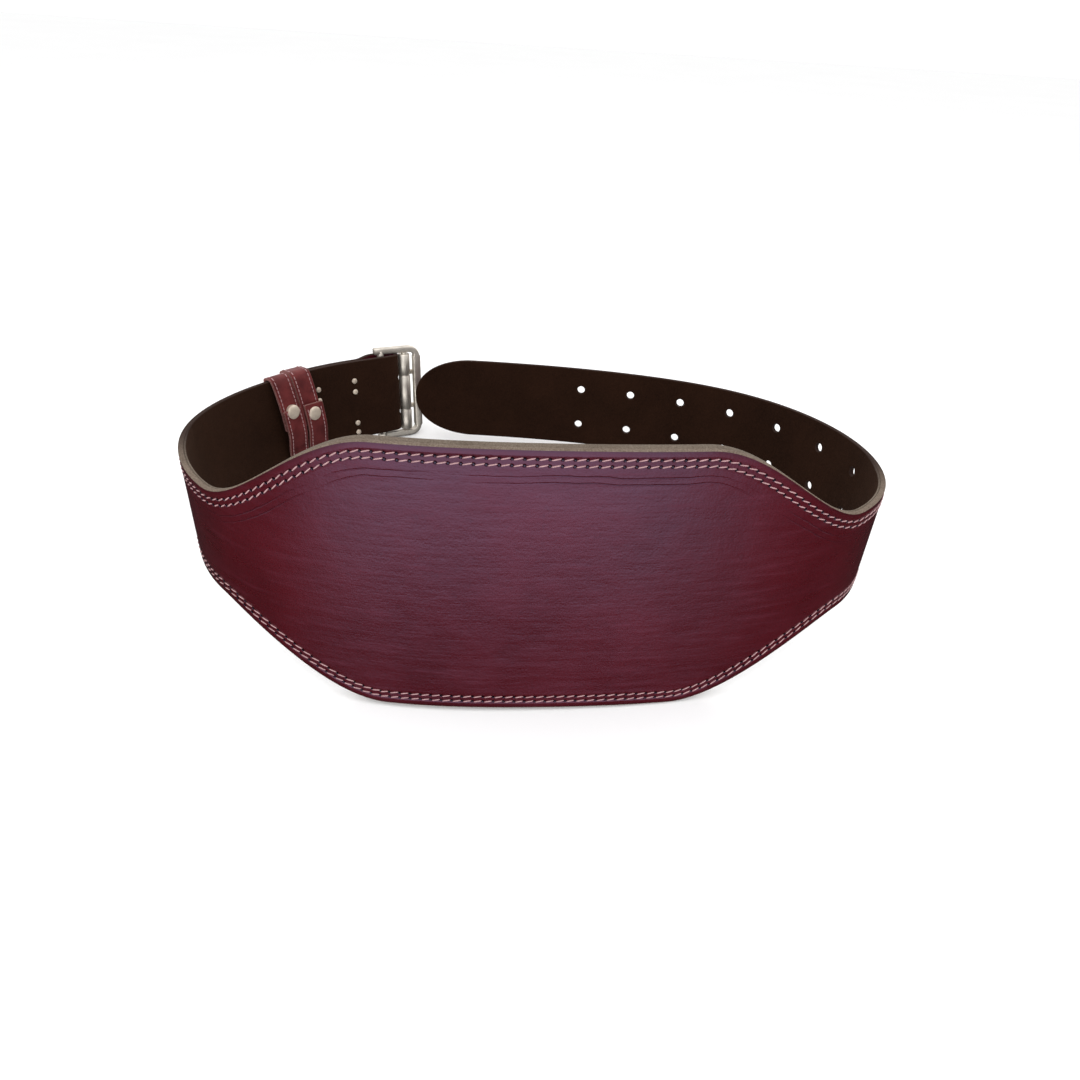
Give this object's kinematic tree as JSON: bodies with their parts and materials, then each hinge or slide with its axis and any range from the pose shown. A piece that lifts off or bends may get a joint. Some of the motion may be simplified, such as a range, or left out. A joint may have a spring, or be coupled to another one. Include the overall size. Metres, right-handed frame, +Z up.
{
  "type": "weightlifting belt",
  "caption": "Padded leather weightlifting belt with a wide back panel, a double-prong roller buckle, keeper loops and prong holes.",
  "frame": {"origin": "centre of the bounding box's lower face, on the ground the belt stands on", "axes": "+X along the belt's widest span, from the buckle's side towards the side with the holes; +Y from the back panel to the open ends; +Z up"},
  "size_m": [0.4222, 0.314, 0.1539],
  "materials": {
    "oxblood_leather": "smooth, slightly glossy oxblood leather",
    "brown_suede": "dark brown suede",
    "keeper_leather": "smooth red-burgundy leather",
    "nickel_plate": "satin nickel plate"
  },
  "bodies": {
    "belt": {"belt_leather": "oxblood_leather", "suede_lining": "brown_suede", "strap_rivet_1": "nickel_plate", "strap_rivet_2": "nickel_plate", "strap_rivet_3": "nickel_plate", "strap_rivet_4": "nickel_plate", "strap_rivet_5": "nickel_plate", "strap_rivet_6": "nickel_plate", "strap_rivet_7": "nickel_plate", "strap_rivet_8": "nickel_plate", "keeper_left": "keeper_leather", "keeper_right": "keeper_leather", "keeper_rivet_left": "nickel_plate", "keeper_rivet_right": "nickel_plate"},
    "buckle": {"buckle_frame": "nickel_plate"},
    "roller": {"buckle_roller": "nickel_plate"},
    "upper_prong": {"prong_upper": "nickel_plate"},
    "lower_prong": {"prong_lower": "nickel_plate"}
  },
  "joints": [
    {"name": "buckle_swing", "type": "hinge", "parent": "belt", "child": "buckle", "pos_m": [-0.13117, 0.13099, 0.04011], "axis": [0, 0.1311, 0.9914], "range_deg": [-17, 50]},
    {"name": "roller_spin", "type": "hinge", "parent": "buckle", "child": "roller", "pos_m": [-0.11443, 0.14102, 0.03878], "axis": [0, 0.1311, 0.9914], "continuous": true},
    {"name": "upper_prong_swing", "type": "hinge", "parent": "buckle", "child": "upper_prong", "pos_m": [-0.13117, 0.13099, 0.04011], "axis": [0, 0.1311, 0.9914], "range_deg": [0, 60]},
    {"name": "lower_prong_swing", "type": "hinge", "parent": "buckle", "child": "lower_prong", "pos_m": [-0.13117, 0.13099, 0.04011], "axis": [0, 0.1311, 0.9914], "range_deg": [0, 60]}
  ]
}
